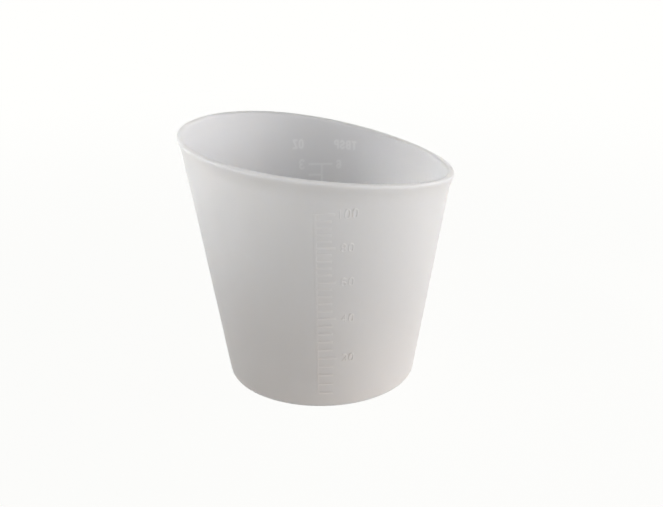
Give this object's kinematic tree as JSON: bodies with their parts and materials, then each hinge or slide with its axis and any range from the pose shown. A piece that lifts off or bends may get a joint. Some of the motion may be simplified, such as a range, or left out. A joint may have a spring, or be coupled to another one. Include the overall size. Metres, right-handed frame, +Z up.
{
  "type": "resin mixing cup",
  "caption": "Small soft translucent mixing cup with a slanted mouth, a turned-out lip and raised measuring scales, for mixing and pouring liquid resin.",
  "frame": {"origin": "centre of the flat underside, on the cup's axis", "axes": "+Z up along the cup's axis; the millilitre scale faces -Y; the mouth is high on the -X side and low on the +X side"},
  "size_m": [0.0651, 0.0656, 0.0618],
  "materials": {
    "silicone": "milky translucent silicone, satin",
    "scale": "milky translucent silicone, satin, raised from the wall"
  },
  "bodies": {
    "root": {"cup": "silicone", "ml_spine": "scale", "ml_ticks": "scale", "ml_numerals": "scale", "back_spine": "scale", "oz_ticks": "scale", "oz_numerals": "scale", "oz_mark": "scale", "tbsp_ticks": "scale", "tbsp_numerals": "scale", "tbsp_mark": "scale"}
  },
  "joints": []
}
